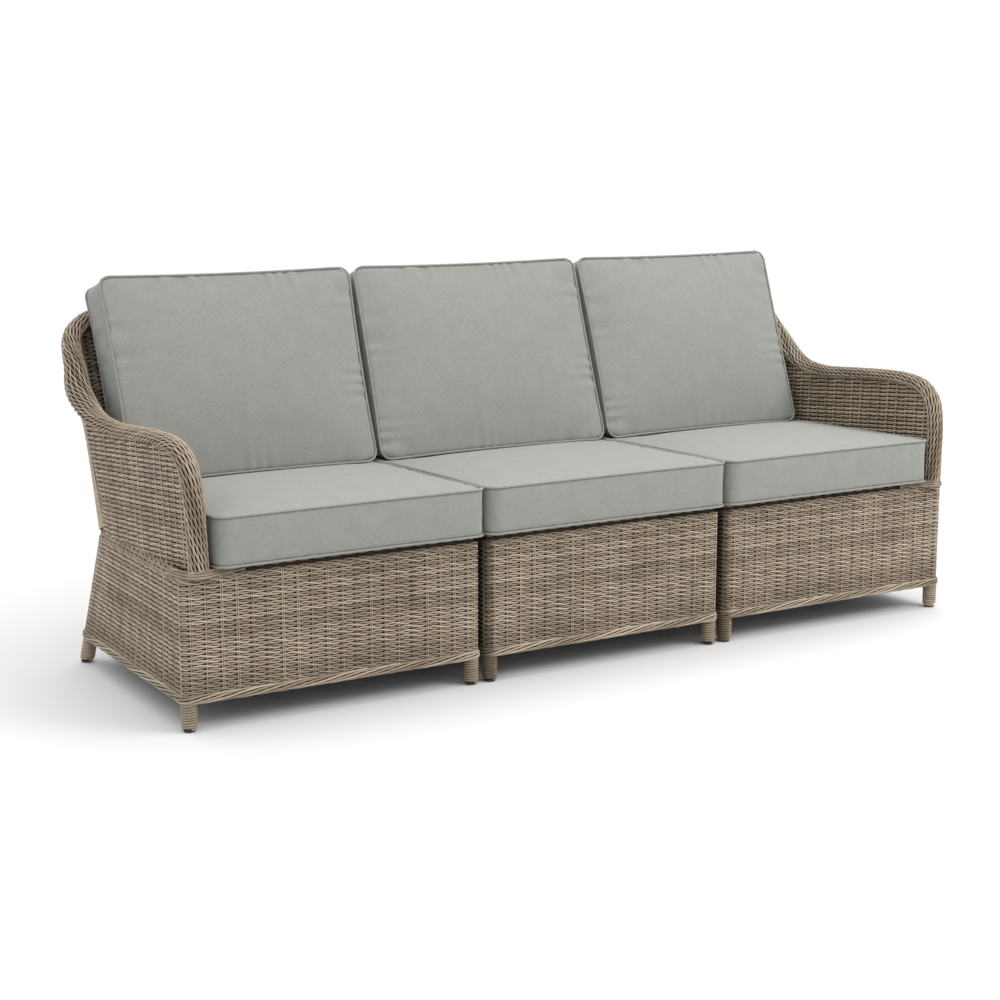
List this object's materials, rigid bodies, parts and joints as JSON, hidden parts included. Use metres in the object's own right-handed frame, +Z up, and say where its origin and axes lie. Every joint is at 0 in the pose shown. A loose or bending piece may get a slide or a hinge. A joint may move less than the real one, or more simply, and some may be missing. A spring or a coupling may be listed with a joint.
{
  "type": "garden sofa",
  "caption": "Three-seat garden sofa of twined synthetic rattan with rolled arms, sweeping wings and loose grey box cushions.",
  "frame": {"origin": "centre of the bounding box, on the floor", "axes": "+X along the sofa to the right as seen from its front, +Y from front to back, +Z up"},
  "size_m": [2.1536, 0.8434, 0.9181],
  "materials": {
    "woven_rattan": "round synthetic rattan strand in warm grey brown, lightly streaked, twined in rows",
    "frame_tube": "dark brown powder coat on welded tube",
    "cushion_fabric": "heathered light grey outdoor cloth with piping of the same cloth",
    "black_plastic": "moulded black plastic"
  },
  "bodies": {
    "sofa": {"left_frame": "frame_tube", "left_base_skirt": "woven_rattan", "left_seat_deck": "woven_rattan", "left_rim": "woven_rattan", "left_back_weave": "woven_rattan", "left_arm_outer_side": "woven_rattan", "left_arm_inner_side": "woven_rattan", "left_corner_post_wrap": "woven_rattan", "left_inner_post_wrap": "woven_rattan", "left_leg_wrap_front_outer": "woven_rattan", "left_glide_front_outer": "black_plastic", "left_leg_wrap_front_inner": "woven_rattan", "left_glide_front_inner": "black_plastic", "left_leg_wrap_rear_inner": "woven_rattan", "left_glide_rear_inner": "black_plastic", "left_leg_wrap_rear_outer": "woven_rattan", "left_glide_rear_outer": "black_plastic", "middle_frame": "frame_tube", "middle_base_skirt": "woven_rattan", "middle_seat_deck": "woven_rattan", "middle_rim": "woven_rattan", "middle_back_weave": "woven_rattan", "middle_left_post_wrap": "woven_rattan", "middle_right_post_wrap": "woven_rattan", "middle_leg_wrap_front_left": "woven_rattan", "middle_glide_front_left": "black_plastic", "middle_leg_wrap_front_right": "woven_rattan", "middle_glide_front_right": "black_plastic", "middle_leg_wrap_rear_right": "woven_rattan", "middle_glide_rear_right": "black_plastic", "middle_leg_wrap_rear_left": "woven_rattan", "middle_glide_rear_left": "black_plastic", "right_frame": "frame_tube", "right_base_skirt": "woven_rattan", "right_seat_deck": "woven_rattan", "right_rim": "woven_rattan", "right_back_weave": "woven_rattan", "right_arm_outer_side": "woven_rattan", "right_arm_inner_side": "woven_rattan", "right_corner_post_wrap": "woven_rattan", "right_inner_post_wrap": "woven_rattan", "right_leg_wrap_front_outer": "woven_rattan", "right_glide_front_outer": "black_plastic", "right_leg_wrap_front_inner": "woven_rattan", "right_glide_front_inner": "black_plastic", "right_leg_wrap_rear_inner": "woven_rattan", "right_glide_rear_inner": "black_plastic", "right_leg_wrap_rear_outer": "woven_rattan", "right_glide_rear_outer": "black_plastic", "left_clip": "black_plastic", "right_clip": "black_plastic"},
    "left_seat_cushion_body": {"left_seat_cushion": "cushion_fabric"},
    "left_back_cushion_body": {"left_back_cushion": "cushion_fabric"},
    "middle_seat_cushion_body": {"middle_seat_cushion": "cushion_fabric"},
    "middle_back_cushion_body": {"middle_back_cushion": "cushion_fabric"},
    "right_seat_cushion_body": {"right_seat_cushion": "cushion_fabric"},
    "right_back_cushion_body": {"right_back_cushion": "cushion_fabric"}
  },
  "joints": [
    {"name": "left_seat_cushion_lift", "type": "slide", "parent": "sofa", "child": "left_seat_cushion_body", "axis": [0, 0, 1], "range_m": [0, 0.4]},
    {"name": "left_back_cushion_lift", "type": "slide", "parent": "left_seat_cushion_body", "child": "left_back_cushion_body", "axis": [0, 0, 1], "range_m": [0, 0.45]},
    {"name": "middle_seat_cushion_lift", "type": "slide", "parent": "sofa", "child": "middle_seat_cushion_body", "axis": [0, 0, 1], "range_m": [0, 0.4]},
    {"name": "middle_back_cushion_lift", "type": "slide", "parent": "middle_seat_cushion_body", "child": "middle_back_cushion_body", "axis": [0, 0, 1], "range_m": [0, 0.45]},
    {"name": "right_seat_cushion_lift", "type": "slide", "parent": "sofa", "child": "right_seat_cushion_body", "axis": [0, 0, 1], "range_m": [0, 0.4]},
    {"name": "right_back_cushion_lift", "type": "slide", "parent": "right_seat_cushion_body", "child": "right_back_cushion_body", "axis": [0, 0, 1], "range_m": [0, 0.45]}
  ]
}
